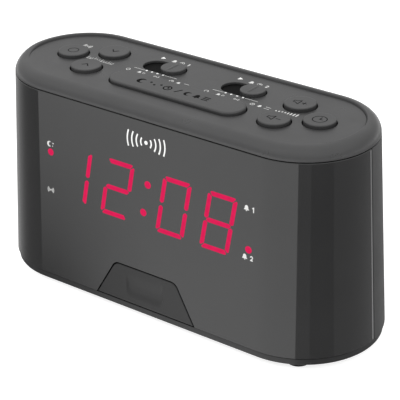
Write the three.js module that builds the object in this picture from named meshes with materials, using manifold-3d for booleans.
// Dual-alarm clock radio with a wrap-around smoked front, a fold-down phone ledge and a control panel on top.
// Millimetres, +Z up, +X to the right of someone who reads the clock, -Y towards them.
// The origin is on the table, under the middle of the cabinet.
import * as THREE from "three";
import { mergeVertices } from "three/addons/utils/BufferGeometryUtils.js";
import Module from "manifold-3d";

const wasm = await Module();
wasm.setup();

// ---------------------------------------------------------------- driving dimensions
const HALF = 50.3; // half the straight part of the oval, between the centres of its round ends
const R_SEAM = 26.5; // end radius at the seam under the top cover
const DRAFT = 0.04733; // the walls lean out by this much for each mm down (2.7 degrees)
const FEET = [[-61.6, -19.2], [61.6, -19.2], [-61.6, 19.2], [61.6, 19.2]];
const Z_FOOT = 2.4; // the feet's height, and the underside of the base
const Z_LENS = 5.3; // bottom edge of the front and of the rear cabinet
const Z_SEAM = 79.9; // their top edge
const Z_PANEL = 84.5; // control panel
const Z_CREST = 85.35; // crest of the rear rim round the panel
const PANEL_T = 1.8;
const FILLET_FRONT = 5.0; // how far the cover's edge rounds over, in front and at the back
const FILLET_BACK = 4.8;
const RIM_IN = 5.4; // from the seam's outline in to the panel's edge
const RIM_FADE = 45; // degrees round each end, in front of the middle, over which the rim fades
const WALL = 2.0;
const GAP = 0.3; // between pieces that touch
const END_SEG = 18; // facets in half a turn of the oval's ends

// front: display and fold-down ledge
const DIGIT_H = 22.86; // 0.9 inch digits
const DIGIT_W = 10.9;
const DIGIT_Z = 50.25;
const DIGIT_X = [-32.7, -12.5, 13.25, 33.5];
const DIGIT_SLANT = 0.2126; // 12 degrees
const FLAP_BOTTOM = 23.1; // half width of the ledge's opening at its foot
const FLAP_TOP = 14.2; // half width at its top, before the corners are rounded
const FLAP_Z = 20.4;
const PIN_Y = -26.5;
const PIN_Z = 8.7;

// top: keys and switches
const KEY_R = 5.8;
const KEY_GAP = 0.35; // round each key
const KEY_TOP = 85.8;
const KEYS = {
  radio: [-55.85, -0.05],
  tune_down: [-42.4, 8.15],
  tune_up: [-42.4, -8.25],
  volume_up: [42.6, 8.15],
  volume_down: [42.8, -8.25],
  clock: [56.25, -0.05],
};
const SNOOZE_X = 0.55;
const SNOOZE_Y = -8.8;
const SNOOZE_HALF = 23.5; // half distance between its end centres
const SNOOZE_R = 5.95;
const SLOT_X = 18.1; // the two alarm switches' slots, left and right of the middle
const SLOT_Y = 8.15;
const SLOT_R = 5.05;
const SLOT_TRAVEL = 4.0; // half the knob's travel
const KNOB_R = 4.75;
const SHUTTER = [13.3, 5.6, 82.55, 83.4]; // half length, half width, underside and top of the plate that closes a slot under its knob
const BOARD_Z = 74.6; // top of the key board

// ---------------------------------------------------------------- helpers
const P = (x, y) => new THREE.Vector2(x, y);
const shapeOf = (pts, holes = []) => {
  const s = new THREE.Shape(pts.map(([x, y]) => P(x, y)));
  for (const h of holes) s.holes.push(new THREE.Path(h.map(([x, y]) => P(x, y))));
  return s;
};
const arc = (cx, cy, r, a0, a1, n) =>
  Array.from({ length: n + 1 }, (_, i) => {
    const a = ((a0 + ((a1 - a0) * i) / n) * Math.PI) / 180;
    return [cx + r * Math.cos(a), cy + r * Math.sin(a)];
  });
const circle = (cx, cy, r, n = 24) => arc(cx, cy, r, 0, 360, n).slice(0, -1);
const oval = (half, r, n = END_SEG, cx = 0, cy = 0) => [
  ...arc(cx + half, cy, r, -90, 90, n),
  ...arc(cx - half, cy, r, 90, 270, n),
];
const rect = (x0, y0, x1, y1) => [[x0, y0], [x1, y0], [x1, y1], [x0, y1]];
const roundRect = (x0, y0, x1, y1, r, n = 4) => [
  ...arc(x1 - r, y0 + r, r, -90, 0, n),
  ...arc(x1 - r, y1 - r, r, 0, 90, n),
  ...arc(x0 + r, y1 - r, r, 90, 180, n),
  ...arc(x0 + r, y0 + r, r, 180, 270, n),
];
const solidZ = (pts, z0, z1, holes = []) =>
  new THREE.ExtrudeGeometry(shapeOf(pts, holes), { depth: z1 - z0, bevelEnabled: false, steps: 1 }).translate(0, 0, z0);
const solidY = (pts, y0, y1, holes = []) =>
  new THREE.ExtrudeGeometry(shapeOf(pts, holes), { depth: y1 - y0, bevelEnabled: false }).rotateX(Math.PI / 2).translate(0, y1, 0);
const toX = new THREE.Matrix4().set(0, 0, 1, 0, 1, 0, 0, 0, 0, 1, 0, 0, 0, 0, 0, 1);
const solidX = (pts, x0, x1, holes = []) =>
  new THREE.ExtrudeGeometry(shapeOf(pts, holes), { depth: x1 - x0, bevelEnabled: false }).applyMatrix4(toX).translate(x0, 0, 0);
const box = (x0, y0, z0, x1, y1, z1) =>
  new THREE.BoxGeometry(x1 - x0, y1 - y0, z1 - z0).translate((x0 + x1) / 2, (y0 + y1) / 2, (z0 + z1) / 2);
const rodZ = (x, y, r, z0, z1, n = 20, r1 = r) =>
  new THREE.CylinderGeometry(r1, r, z1 - z0, n).rotateX(Math.PI / 2).translate(x, y, (z0 + z1) / 2);
const rodX = (y, z, r, x0, x1, n = 16) =>
  new THREE.CylinderGeometry(r, r, x1 - x0, n).rotateZ(Math.PI / 2).translate((x0 + x1) / 2, y, z);
const rodY = (x, z, r, y0, y1, n = 20, r1 = r) =>
  new THREE.CylinderGeometry(r1, r, y1 - y0, n).translate(x, (y0 + y1) / 2, z);
const turned = (profile, n = 24) => new THREE.LatheGeometry(profile.map(([r, z]) => P(r, z)), n).rotateX(Math.PI / 2);

// Each vertex moves outwards from the oval's straight middle line by what grow(z) says.
function lean(g, grow) {
  const p = g.getAttribute("position");
  for (let i = 0; i < p.count; i++) {
    const x = p.getX(i), y = p.getY(i), z = p.getZ(i);
    const m = Math.max(-HALF, Math.min(HALF, x)), dx = x - m, l = Math.hypot(dx, y) || 1, d = grow(z, l);
    p.setXYZ(i, x + (dx / l) * d, y + (y / l) * d, z);
  }
  return g;
}
const rimRise = (angle) => {
  // 1 at the back, 0 in front; angle is from the oval's long axis, positive towards the back
  const t = Math.max(0, Math.min(1, 1 + (angle * 180) / Math.PI / RIM_FADE));
  return t * t * (3 - 2 * t);
};
const wallOut = (z) => (Z_SEAM - z) * DRAFT;
const frontY = (z) => -(R_SEAM + wallOut(z)); // the front's outer face at height z

const solid = (g) => {
  if (!(g instanceof THREE.BufferGeometry)) return g;
  const c = g.clone();
  c.deleteAttribute("normal");
  c.deleteAttribute("uv");
  const m = mergeVertices(c, 1e-4);
  return new wasm.Manifold(new wasm.Mesh({ numProp: 3, vertProperties: m.attributes.position.array, triVerts: new Uint32Array(m.index.array) }));
};
const join = (...g) => g.map(solid).reduce((a, b) => a.add(b));
const cut = (a, ...b) => b.map(solid).reduce((x, y) => x.subtract(y), solid(a));
const geometryOf = (m) => {
  if (m instanceof THREE.BufferGeometry) return m;
  const s = m.getMesh(), n = s.numProp, v = new Float32Array(s.numVert * 3);
  for (let i = 0; i < s.numVert; i++) v.set(s.vertProperties.subarray(i * n, i * n + 3), i * 3);
  return new THREE.BufferGeometry().setAttribute("position", new THREE.BufferAttribute(v, 3)).setIndex(new THREE.BufferAttribute(s.triVerts, 1));
};

const paint = (color, roughness, metalness = 0, extra = {}) => new THREE.MeshStandardMaterial({ color, roughness, metalness, ...extra });
const MAT = {
  cover: paint(0x3d3d3e, 0.55),
  lens: paint(0x333334, 0.12),
  cabinet: paint(0x39393a, 0.5),
  base: paint(0x2b2b2c, 0.6),
  frame: paint(0x161617, 0.7),
  key: paint(0x3a3a3b, 0.55),
  rubber: paint(0x151515, 0.9),
  board: paint(0x1d5a34, 0.6),
  switches: paint(0x1a1a1c, 0.5),
  steel: paint(0xb9bbbd, 0.35, 1),
  display: paint(0x202021, 0.6),
  film: paint(0x8d1220, 0.3),
  magnet: paint(0x4a4a4c, 0.4, 1),
  cone: paint(0x1b1b1a, 0.9),
  chip: paint(0x121213, 0.5),
  sleeve: paint(0x26324f, 0.4),
  cell: paint(0x5f6a70, 0.35, 0.4),
  ribbon: paint(0x9a9a98, 0.5),
  white: paint(0xd8d6d0, 0.6),
};
const clock = new THREE.Group();
function add(name, shape, material, parent = clock) {
  const mesh = new THREE.Mesh(geometryOf(shape), material);
  mesh.name = name;
  parent.add(mesh);
  return mesh;
}

// ---------------------------------------------------------------- base
{
  const skirt = lean(solidZ(oval(HALF, R_SEAM), Z_FOOT, Z_LENS - 0.35), (z) => wallOut(z) - (z < Z_FOOT + 0.1 ? 1.2 : 0.65));
  const lip = cut(
    lean(solidZ(oval(HALF, R_SEAM - WALL - GAP), Z_LENS - 0.6, Z_LENS + 2.6), wallOut),
    lean(solidZ(oval(HALF, R_SEAM - WALL - GAP - 1.4), Z_LENS - 1.6, Z_LENS + 3.6), wallOut),
    box(-27.5, -40, Z_LENS - 0.3, 27.5, -15, 12), // room for the ledge's hinge
  );
  // battery compartment: an upturned box with its mouth in the base's underside
  const bay = box(-29.5, -4.2, Z_LENS - 0.6, 29.5, 21.2, 16.2);
  const bosses = [[-60, -11], [60, -11], [-60, 11], [60, 11]].map(([x, y]) => rodZ(x, y, 3.8, Z_LENS - 0.6, 9.6, 20));
  let b = join(skirt, lip, bay, ...bosses);
  const cuts = [
    box(-28, -2.7, Z_FOOT + 1.5, 28, 19.7, 14.8), // the cells' room
    box(-27, -1.7, Z_FOOT - 1, 27, 19.7, 5), // its mouth
    box(-28.4, -4.4, Z_FOOT - 1, 28.4, 19.9, Z_FOOT + 1.6), // rebate for the door
    box(-5.6, 17, Z_FOOT - 1, 5.6, 23.4, Z_FOOT + 1.6), // finger notch at the door's catch
  ];
  for (const [x, y] of [[-60, -11], [60, -11], [-60, 11], [60, 11]])
    cuts.push(rodZ(x, y, 1.8, Z_FOOT - 1, 12, 16), rodZ(x, y, 3.1, Z_FOOT - 1, Z_FOOT + 2.4, 20));
  for (const [x, y] of FEET) cuts.push(rodZ(x, y, 5.0, Z_FOOT - 1, Z_FOOT + 0.6, 24));
  add("bottom_base", cut(b, ...cuts), MAT.base);
}
for (const [i, [x, y]] of FEET.entries())
  add("rubber_foot_" + (i + 1), turned([[0, 0], [4.1, 0], [4.6, 0.5], [4.8, 1.4], [4.8, 2.7], [0, 2.7]], 20).translate(x, y, 0), MAT.rubber);
for (const [i, [x, y]] of [[-60, -11], [60, -11], [-60, 11], [60, 11]].entries()) {
  const head = turned([[0, 0], [2.5, 0], [2.8, 0.5], [2.8, 1.6], [1.45, 1.6], [1.45, 12.2], [0, 13]], 12).translate(x, y, Z_FOOT + 0.5);
  add("case_screw_" + (i + 1), cut(head, box(x - 1.5, y - 0.3, 2, x + 1.5, y + 0.3, 3.6), box(x - 0.3, y - 1.5, 2, x + 0.3, y + 1.5, 3.6)), MAT.steel);
}

// ---------------------------------------------------------------- rear cabinet
const halfRing = (r0, r1, side) => {
  // half of the oval's ring, with its ends on the plane between front and rear
  const s = side, g = 0.12;
  const outer = [[HALF + r1, s * g], ...arc(HALF, 0, r1, 0, s * 90, END_SEG / 2).slice(1), ...arc(-HALF, 0, r1, s * 90, s * 180, END_SEG / 2).slice(0, -1), [-HALF - r1, s * g]];
  const inner = [[-HALF - r0, s * g], ...arc(-HALF, 0, r0, s * 180, s * 90, END_SEG / 2).slice(1), ...arc(HALF, 0, r0, s * 90, 0, END_SEG / 2).slice(0, -1), [HALF + r0, s * g]];
  const pts = [...outer, ...inner];
  return s > 0 ? pts : pts.reverse();
};
{
  const wall = lean(solidZ(halfRing(R_SEAM - WALL, R_SEAM, 1), Z_LENS, Z_SEAM - 0.2), wallOut);
  const posts = [[-60, 11], [60, 11]].map(([x, y]) => rodZ(x, y, 3.6, 9.9, 34, 20));
  const webs = [-60, 60].map((x) => box(x - 1, 12, 9.9, x + 1, 27, 34));
  // tongues that lap behind the front's ends
  const band = (cx, r0, r1, a0, a1) => lean(solidZ([...arc(cx, 0, r1, a0, a1, 3), ...arc(cx, 0, r0, a1, a0, 3)], 8.4, 76.4), wallOut);
  const rIn = R_SEAM - WALL - GAP;
  const tongues = [band(HALF, rIn - 1.4, rIn, -12, 10), band(HALF, rIn - 1.4, rIn + 0.8, 1.5, 10), band(-HALF, rIn - 1.4, rIn, 170, 192), band(-HALF, rIn - 1.4, rIn + 0.8, 170, 178.5)];
  // seat and screw bosses for the loudspeaker, and the main board's rear ledges
  const ring = solidY(circle(0, 46, 24.6, 28), 20.4, 29, [circle(0, 46, 23.0, 28).reverse()]);
  const stand = [[-19.4, 26.6], [19.4, 65.4]].map(([x, z]) => rodY(x, z, 3.2, 19.4, 29, 14));
  const ledges = [-38, 38].map((x) => box(x - 4, 21, 15.4, x + 4, 29, 17.1));
  const inside = lean(solidZ(oval(HALF, R_SEAM - 0.6), Z_LENS + 0.2, Z_SEAM - 1), wallOut);
  let c = join(wall, join(...posts, ...webs, ring, ...stand, ...ledges).intersect(solid(inside)), ...tongues);
  const cuts = [[-60, 11], [60, 11]].map(([x, y]) => rodZ(x, y, 1.8, 9, 24, 16));
  for (const [x, z] of [[-19.4, 26.6], [19.4, 65.4]]) cuts.push(rodY(x, z, 1.5, 18, 23.4, 12));
  // loudspeaker grille: slots inside a circle
  for (let i = -6; i <= 6; i++) {
    const z = 46 + i * 3, half = Math.sqrt(Math.max(0, 19.6 ** 2 - (i * 3) ** 2));
    if (half > 4) cuts.push(solidY(oval(half - 0.8, 0.8, 4, 0, z), 20, 32));
  }
  cuts.push(solidY(circle(-40, 22.6, 4.4, 20), 20, 32)); // power inlet
  cuts.push(solidY(roundRect(31.9, 19.0, 48.1, 26.6, 1, 3), 20, 32)); // USB outlet
  cuts.push(solidY(circle(-56, 66, 2.1, 16), 20, 32)); // aerial wire's hole
  add("rear_cabinet", cut(c, ...cuts), MAT.cabinet);
}

// ---------------------------------------------------------------- smoked front
const ledgeOutline = (grow) => {
  // trapezoid with rounded top corners; grow widens it all round
  const slope = (FLAP_BOTTOM - FLAP_TOP) / (FLAP_Z - Z_LENS), r = 3.6;
  const len = Math.hypot(slope, 1), z1 = FLAP_Z + grow;
  const xAt = (z) => FLAP_BOTTOM + grow * len - slope * (z - Z_LENS);
  const cz = z1 - r, cx = xAt(cz) - r * len;
  const a = (Math.atan2(slope, 1) * 180) / Math.PI;
  return [[-xAt(0), 0], [xAt(0), 0], ...arc(cx, cz, r, a, 90, 5), ...arc(-cx, cz, r, 90, 180 - a, 5)];
};
{
  const wall = lean(solidZ(halfRing(R_SEAM - WALL, R_SEAM, -1), Z_LENS, Z_SEAM - 0.2), wallOut);
  add("front_lens", cut(wall, solidY(ledgeOutline(0.15), -40, -15)), MAT.lens);
}

// ---------------------------------------------------------------- inner frame behind the front
{
  const y0 = -22.2, y1 = -20.6;
  const plate = solidY(rect(-51, 8.6, 51, 76.4), y0, y1, [rect(-40.6, 36.4, 41.4, 64.2).reverse()]);
  const ears = [-1, 1].map((s) => box(s > 0 ? 23.6 : -26, -30, 6.2, s > 0 ? 26 : -23.6, y0 + 0.2, 12.4));
  const flanges = [-1, 1].map((s) => box(s > 0 ? 49.6 : -51, -30, 9, s > 0 ? 51 : -49.6, -12, 72.4));
  const posts = [[-60, -11], [60, -11]].map(([x, y]) => rodZ(x, y, 3.6, 9.9, 30, 20));
  const webs = [-1, 1].map((s) => box(s > 0 ? 50.5 : -58, -14.6, 9.9, s > 0 ? 58 : -50.5, -12.6, 30));
  const rails = [box(-42.6, y1 - 0.2, 33.6, 43.4, -18.4, 35.0), box(-42.6, y1 - 0.2, 65.6, 43.4, -18.4, 67.0)];
  const shelf = box(-49.6, -20.8, 15.4, 49.6, -17.6, 17.1); // the main board's front ledge
  const inside = lean(solidZ(oval(HALF, R_SEAM - WALL - GAP), 6.2, 76.4), wallOut);
  let f = join(plate, ...ears, ...flanges, ...posts, ...webs, ...rails, shelf).intersect(solid(inside));
  f = cut(
    f,
    solidX(circle(PIN_Y, PIN_Z, 0.95, 16), -30, 30),
    ...[[-60, -11], [60, -11]].map(([x, y]) => rodZ(x, y, 1.8, 9, 24, 16)),
    box(-23, -23, 5, 23, -20, 12.4), // room for the ledge's foot as it swings
  );
  add("front_frame", f, MAT.frame);
}
add("flap_hinge_pin", rodX(PIN_Y, PIN_Z, 0.75, -25.8, 25.8, 12), MAT.steel);

// ---------------------------------------------------------------- fold-down ledge
{
  const outline = solidY(ledgeOutline(-0.25), -40, -15);
  // cross-section in Y and Z: a leaning plate on a rounded foot turned about the pin
  const t = 2.2, r = -frontY(PIN_Z) + PIN_Y;
  const foot = arc(PIN_Y, PIN_Z, r, 180, 270, 8);
  const lowZ = PIN_Z + 3.2;
  const section = [[frontY(30), 30], ...foot, [PIN_Y + 0.9, PIN_Z - 2.6], [PIN_Y + 1.9, PIN_Z], [PIN_Y + 1.2, PIN_Z + 1.7], [frontY(lowZ) + t + 0.6, lowZ], [frontY(30) + t, 30]];
  const body = solidX(section, -23.1, 23.1);
  let f = solid(body).intersect(solid(outline));
  // finger recess, deepest at its foot and running out at its top
  const scoop = solid(solidX([[frontY(8.5) - 1, 8.5], [frontY(8.5) + 0.9, 8.5], [frontY(17.2), 17.2], [frontY(17.2) - 1, 17.2]], -8.2, 8.2)).intersect(solid(solidY(roundRect(-8.2, 8.5, 8.2, 20, 1.8), -40, -20)));
  f = cut(f, solidX(circle(PIN_Y, PIN_Z, 1.1, 14), -30, 30), scoop, box(-30, -30, 0, -22.9, -20, 30), box(22.9, -30, 0, 30, -20, 30));
  add("front_flap", f, MAT.base);
}

// ---------------------------------------------------------------- display
{
  const y0 = -23.6, y1 = -16.6;
  const hole = (pts) => solidY(pts, y0 - 1, y0 + 3.2);
  const s = (x, z, cx) => [cx + x + (z - DIGIT_Z) * DIGIT_SLANT, z];
  let d = solid(box(-40.2, y0, 36.8, 41, y1, 63.8));
  const w = 1.7, g = 0.35, hw = DIGIT_W / 2, hh = DIGIT_H / 2;
  const vert = (cx, x, zc, l) => [s(x - w / 2, zc - l / 2 + w / 2, cx), s(x, zc - l / 2, cx), s(x + w / 2, zc - l / 2 + w / 2, cx), s(x + w / 2, zc + l / 2 - w / 2, cx), s(x, zc + l / 2, cx), s(x - w / 2, zc + l / 2 - w / 2, cx)];
  const horz = (cx, z) => [s(-hw + w / 2 + g + w / 2, z - w / 2, cx), s(hw - w / 2 - g - w / 2, z - w / 2, cx), s(hw - w / 2 - g, z, cx), s(hw - w / 2 - g - w / 2, z + w / 2, cx), s(-hw + w / 2 + g + w / 2, z + w / 2, cx), s(-hw + w / 2 + g, z, cx)];
  const cells = [];
  for (const [i, cx] of DIGIT_X.entries()) {
    const l = hh - w / 2 - 2 * g;
    const zu = DIGIT_Z + (hh - w / 2) / 2, zl = DIGIT_Z - (hh - w / 2) / 2;
    cells.push(vert(cx, hw - w / 2, zu, l), vert(cx, hw - w / 2, zl, l));
    if (i > 0) cells.push(vert(cx, -hw + w / 2, zu, l), vert(cx, -hw + w / 2, zl, l), horz(cx, DIGIT_Z + hh - w / 2), horz(cx, DIGIT_Z), horz(cx, DIGIT_Z - hh + w / 2));
  }
  cells.push(circle(1.4, 55.9, 1.3, 8), circle(-0.6, 44.5, 1.3, 8));
  d = cut(d, ...cells.map(hole));
  add("led_display", d, MAT.display);
  add("display_diffuser", box(-40.2, y0 - 0.8, 36.8, 41, y0 - 0.3, 63.8), MAT.film);
  add("display_board", cut(box(-47.5, y1 + 0.3, 35.3, 47.5, y1 + 1.9, 65.3), rodY(-45, 39, 1.2, -18, -13, 12), rodY(45, 62, 1.2, -18, -13, 12)), MAT.board);
}

// ---------------------------------------------------------------- top cover
{
  // outside: a fillet from the seam up to the panel, with a rim that stands proud of it at the back and fades out round the ends
  const n = 6;
  const g = new THREE.ExtrudeGeometry(shapeOf(oval(HALF, R_SEAM)), { depth: 1, steps: n + 1, bevelEnabled: false });
  const p = g.getAttribute("position");
  for (let i = 0; i < p.count; i++) {
    const k = Math.round(p.getZ(i) * (n + 1)), x = p.getX(i), y = p.getY(i);
    const m = Math.max(-HALF, Math.min(HALF, x)), dx = x - m, l = Math.hypot(dx, y);
    const h = rimRise(Math.atan2(y, Math.abs(dx)));
    const a = (Math.min(k, n) / n) * (Math.PI / 2);
    const d = k > n ? -RIM_IN : -(FILLET_FRONT + (FILLET_BACK - FILLET_FRONT) * h) * (1 - Math.cos(a));
    p.setXYZ(i, m + (dx / l) * (l + d), (y / l) * (l + d), Z_SEAM + (Z_PANEL - Z_SEAM + (Z_CREST - Z_PANEL) * h) * Math.sin(a));
  }
  const shell = cut(g, lean(solidZ(oval(HALF, R_SEAM - WALL), Z_SEAM - 1, Z_PANEL - PANEL_T), (z) => (z > Z_SEAM ? -2.6 : 0)));
  const sunk = lean(solidZ(oval(HALF, R_SEAM - RIM_IN, END_SEG), Z_PANEL, Z_PANEL + 3), (z) => (z > Z_PANEL + 1 ? 1.8 : 0)); // the panel, and the rim's inner slope
  // skirt that locates inside the front and the rear cabinet
  const skirt = cut(lean(solidZ(oval(HALF, R_SEAM - WALL - GAP), Z_SEAM - 3, Z_SEAM + 1.2), () => 0), solidZ(oval(HALF, R_SEAM - WALL - GAP - 1.3), Z_SEAM - 4, Z_SEAM + 2));
  const posts = [[-58, 14], [58, 14], [-58, -14], [58, -14]].map(([x, y]) => rodZ(x, y, 2.4, BOARD_Z + 0.3, Z_PANEL - 1, 14));
  let c = join(shell, skirt, ...posts);
  const cuts = [sunk];
  for (const [x, y] of Object.values(KEYS)) cuts.push(rodZ(x, y, KEY_R + KEY_GAP, 70, 90, 28));
  cuts.push(solidZ(oval(SNOOZE_HALF, SNOOZE_R + KEY_GAP, 12, SNOOZE_X, SNOOZE_Y), 70, 90));
  for (const s of [-1, 1]) {
    const x = s * SLOT_X + SLOT_TRAVEL;
    cuts.push(solidZ(oval(SLOT_TRAVEL, SLOT_R, 12, s * SLOT_X, SLOT_Y), 70, 90));
    cuts.push(box(x - SHUTTER[0] - 2 * SLOT_TRAVEL - 0.3, SLOT_Y - SHUTTER[1] - 0.25, 80, x + SHUTTER[0] + 0.3, SLOT_Y + SHUTTER[1] + 0.25, SHUTTER[3] + 0.2)); // pocket for the shutter
  }
  for (const [x, y] of [[-58, 14], [58, -14]]) cuts.push(rodZ(x, y, 1.2, 70, 81, 12));
  c = cut(c, ...cuts);
  add("top_cover", c, MAT.cover);
}

// ---------------------------------------------------------------- key board, its switches and their screws
{
  const b = cut(
    solidZ(oval(50.3, 19.5, 10), BOARD_Z - 1.6, BOARD_Z),
    rodZ(-58, 14, 1.4, 70, 76, 12),
    rodZ(58, -14, 1.4, 70, 76, 12),
  );
  add("key_board", b, MAT.board);
  for (const [i, [x, y]] of [[-58, 14], [58, -14]].entries())
    add("key_board_screw_" + (i + 1), turned([[0, 0], [1.9, 0], [2.2, 0.4], [2.2, 1.2], [0.85, 1.2], [0.85, 6.2], [0, 6.8]], 12).translate(x, y, BOARD_Z - 1.6 - 1.5), MAT.steel);
}
const tact = (name, x, y) =>
  add("tact_switch_" + name, join(box(x - 3, y - 3, BOARD_Z + 0.3, x + 3, y + 3, BOARD_Z + 3.6), rodZ(x, y, 1.7, BOARD_Z + 3.2, BOARD_Z + 4.4, 12)), MAT.switches);
for (const [k, [x, y]] of Object.entries(KEYS)) tact(k, x, y);
tact("snooze_left", -15, SNOOZE_Y);
tact("snooze_right", 15, SNOOZE_Y);

// ---------------------------------------------------------------- keys
for (const [k, [x, y]] of Object.entries(KEYS))
  add(
    k + "_button",
    turned([[0, 80.05], [1.6, 80.05], [1.6, 81.2], [6.9, 81.2], [6.9, 82.35], [KEY_R, 82.35], [KEY_R, KEY_TOP - 0.55], [KEY_R - 0.5, KEY_TOP], [0, KEY_TOP]], 20).translate(x, y, 0),
    MAT.key,
  );
{
  const cap = new THREE.ExtrudeGeometry(shapeOf(oval(SNOOZE_HALF, SNOOZE_R - 0.6, 12)), { depth: KEY_TOP - 82, bevelEnabled: true, bevelThickness: 0.5, bevelSize: 0.6, bevelSegments: 2, curveSegments: 1 }).translate(SNOOZE_X, SNOOZE_Y, 82 - 0.5);
  const plate = solidZ(oval(SNOOZE_HALF, SNOOZE_R + 1.1, 10, SNOOZE_X, SNOOZE_Y), 81.2, 82.35);
  const stems = [-15, 15].map((x) => rodZ(x, SNOOZE_Y, 1.6, 80.05, 81.4, 12));
  const top = cut(cap, box(-60, -40, 70, 60, 40, 81.9));
  add("snooze_bar", join(plate, ...stems, top), MAT.key);
}

// ---------------------------------------------------------------- alarm switches: the knob, its lever and the switch under it
for (const [n, s] of [[1, -1], [2, 1]]) {
  const x = s * SLOT_X + SLOT_TRAVEL;
  const knob = turned([[0, 83], [KNOB_R, 83], [KNOB_R, 85.3], [KNOB_R - 0.5, 85.85], [0, 85.85]], 24).translate(x, SLOT_Y, 0);
  const plate = box(x - SHUTTER[0], SLOT_Y - SHUTTER[1], SHUTTER[2], x + SHUTTER[0], SLOT_Y + SHUTTER[1], SHUTTER[3]);
  const ridge = solidX([[-3, 85.6], [3, 85.6], [2.6, 86.15], [-2.6, 86.15]], -0.6, 0.6).translate(x, SLOT_Y, 0);
  const socket = cut(rodZ(x, SLOT_Y, 3.1, 79.6, 82.8, 14), box(x - 1.6, SLOT_Y - 1.3, 79, x + 1.6, SLOT_Y + 1.3, 81.1));
  add("alarm_" + n + "_knob", join(knob, plate, ridge, socket), MAT.key);
  add("alarm_" + n + "_lever", join(box(x - 1.25, SLOT_Y - 1, 76.2, x + 1.25, SLOT_Y + 1, 80.8), box(x - 2.8, SLOT_Y - 2.2, 75.4, x + 2.8, SLOT_Y + 2.2, 76.5)), MAT.white);
  const cx = s * SLOT_X;
  const can = cut(box(cx - 9.2, SLOT_Y - 3.6, BOARD_Z + 0.3, cx + 9.2, SLOT_Y + 3.6, 78.2), box(cx - 8.6, SLOT_Y - 3, 70, cx + 8.6, SLOT_Y + 3, 77.6), box(cx - 6.3, SLOT_Y - 1.4, 76, cx + 6.3, SLOT_Y + 1.4, 80));
  add("alarm_" + n + "_switch_can", can, MAT.steel);
}

// ---------------------------------------------------------------- main board and what stands on it
const MB = 19.0; // top of the main board
add("main_board", cut(box(-54, -20.2, MB - 1.6, 54, 23.4, MB), box(-55, -22, 10, -49.2, -6, 30), box(49.2, -22, 10, 55, -6, 30)), MAT.board);
add("radio_chip", solidZ(rect(-26, -8, -10, 2), MB + 0.3, MB + 2.6), MAT.chip);
add("clock_chip", solidZ(rect(8, -10, 26, 0), MB + 0.3, MB + 2.6), MAT.chip);
add("filter_capacitor", turned([[0, 0], [4.6, 0], [5, 0.4], [5, 11.6], [4.6, 12], [0, 12]], 20).translate(-37, -4, MB + 0.3), MAT.sleeve);
{
  const c = [-40, 22.6];
  const body = join(box(c[0] - 4.6, 11.5, MB + 0.3, c[0] + 4.6, 24.4, 27.0), rodY(c[0], c[1], 4.0, 24, 28.2, 20));
  add("dc_jack", join(cut(body, rodY(c[0], c[1], 2.9, 16, 30, 20)), rodY(c[0], c[1], 1.0, 15.2, 27.2, 12)), MAT.switches);
  const u = cut(box(33, 13, MB + 0.5, 47, 28.2, 26.0), box(33.6, 13.6, MB + 1.1, 46.4, 30, 25.4));
  add("usb_socket", join(u, box(34.8, 13.3, 23.0, 45.2, 27, 24.6)), MAT.steel);
}
add("antenna_grommet", cut(join(rodY(-56, 66, 1.8, 22.4, 27.8, 16), rodY(-56, 66, 3.2, 27.35, 28.3, 16), rodY(-56, 66, 3.0, 21.4, 22.75, 16)), rodY(-56, 66, 0.8, 15, 35, 10)), MAT.rubber);

// ---------------------------------------------------------------- loudspeaker, firing through the rear grille
{
  const lathe = (pr, n = 22) => new THREE.LatheGeometry(pr.map(([r, y]) => P(r, y)), n).translate(0, 0, 46);
  const basket = lathe([[13, 8.4], [14.2, 8.4], [21.0, 17.8], [22.6, 17.8], [22.6, 19.0], [20.4, 19.0], [13, 9.6], [13, 8.4]]);
  add("speaker_basket", cut(basket, ...[0, 90, 180, 270].map((a) => rodY(0, 46 + 17.6, 2.4, 9.8, 16.8, 10).translate(0, 0, -46).rotateY(((a + 45) * Math.PI) / 180).translate(0, 0, 46))), MAT.steel);
  add("speaker_cone", lathe([[0, 11.4], [5.5, 11.4], [6.4, 12.4], [17.4, 19.3], [19.2, 20.6], [20.9, 19.5], [22.0, 19.4], [22.0, 19.8], [20.9, 20.0], [19.2, 21.1], [17.2, 19.9], [6.2, 13.2], [4.4, 14.4], [0, 15.1]]), MAT.cone);
  add("speaker_magnet", lathe([[0, 0.4], [12, 0.4], [12.6, 0.9], [12.6, 7.0], [12.0, 8.1], [7.5, 8.1], [7.5, 7.6], [0, 7.6]]), MAT.magnet);
}

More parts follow.
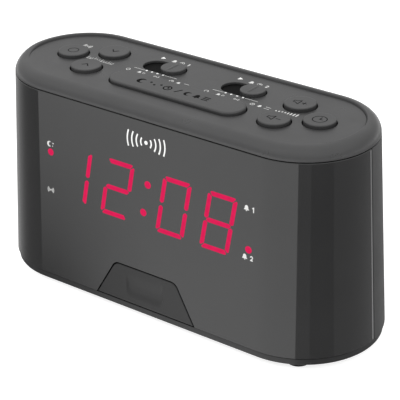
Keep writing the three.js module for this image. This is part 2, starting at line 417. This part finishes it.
// ---------------------------------------------------------------- ribbon cables between the boards
{
  const band = (pts, w, t, x) => {
    const path = new THREE.CatmullRomCurve3(pts.map(([y, z]) => new THREE.Vector3(0, y, z)), false, "centripetal");
    const n = 14, up = [], down = [];
    for (let i = 0; i <= n; i++) {
      const q = path.getPoint(i / n), d = path.getTangent(i / n);
      up.push([q.y - (d.z * t) / 2, q.z + (d.y * t) / 2]);
      down.push([q.y + (d.z * t) / 2, q.z - (d.y * t) / 2]);
    }
    return solidX([...up, ...down.reverse()], x - w / 2, x + w / 2);
  };
  add("display_ribbon", band([[-14.2, 40], [-12.6, 39.2], [-12.0, 34], [-12.8, 26], [-13.0, 20.0]], 16, 0.5, 30), MAT.ribbon);
  add("key_ribbon", band([[-4, 72.6], [-4.2, 66], [-6.2, 50], [-6.6, 34], [-5.2, 20.0]], 14, 0.5, -1), MAT.ribbon);
}

// ---------------------------------------------------------------- backup cells and their contacts
{
  const cell = (y, s) => turned([[0, -22.2], [5.0, -22.2], [5.15, -22.0], [5.15, 20.9], [4.9, 21.2], [1.9, 21.2], [1.9, 22.2], [0, 22.2]], 20).rotateY((s * Math.PI) / 2).translate(0, y, 9.4);
  add("battery_cell_1", cell(2.9, 1), MAT.cell);
  add("battery_cell_2", cell(14.2, -1), MAT.cell);
  class Coil extends THREE.Curve {
    getPoint(t) {
      const a = t * Math.PI * 2 * 3.5, r = 2.6 - 0.9 * t;
      return new THREE.Vector3(t * 4.0, r * Math.cos(a), r * Math.sin(a));
    }
  }
  const wire = new THREE.ExtrudeGeometry(shapeOf(circle(0, 0, 0.3, 5)), { steps: 28, bevelEnabled: false, extrudePath: new Coil() });
  add("battery_spring_1", wire.clone().translate(-27.1, 2.9, 9.4), MAT.steel);
  add("battery_spring_2", wire.clone().rotateZ(Math.PI).translate(27.1, 14.2, 9.4), MAT.steel);
  add("battery_door", cut(
    join(
      box(-28.1, -4.1, Z_FOOT + 0.05, 28.1, 19.6, Z_FOOT + 1.25),
      box(-5.2, 19.4, Z_FOOT + 0.05, 5.2, 22.4, Z_FOOT + 1.25),
      box(-24, 4, Z_FOOT + 1.1, 24, 5.2, Z_FOOT + 1.85), box(-24, 12, Z_FOOT + 1.1, 24, 13.2, Z_FOOT + 1.85),
    ),
    ...[-1.6, 0, 1.6].map((d) => box(-3.6, 20.6 + d * 0.55 - 0.25, 0, 3.6, 20.6 + d * 0.55 + 0.25, Z_FOOT + 0.4)),
  ), MAT.base);
}

export default clock;
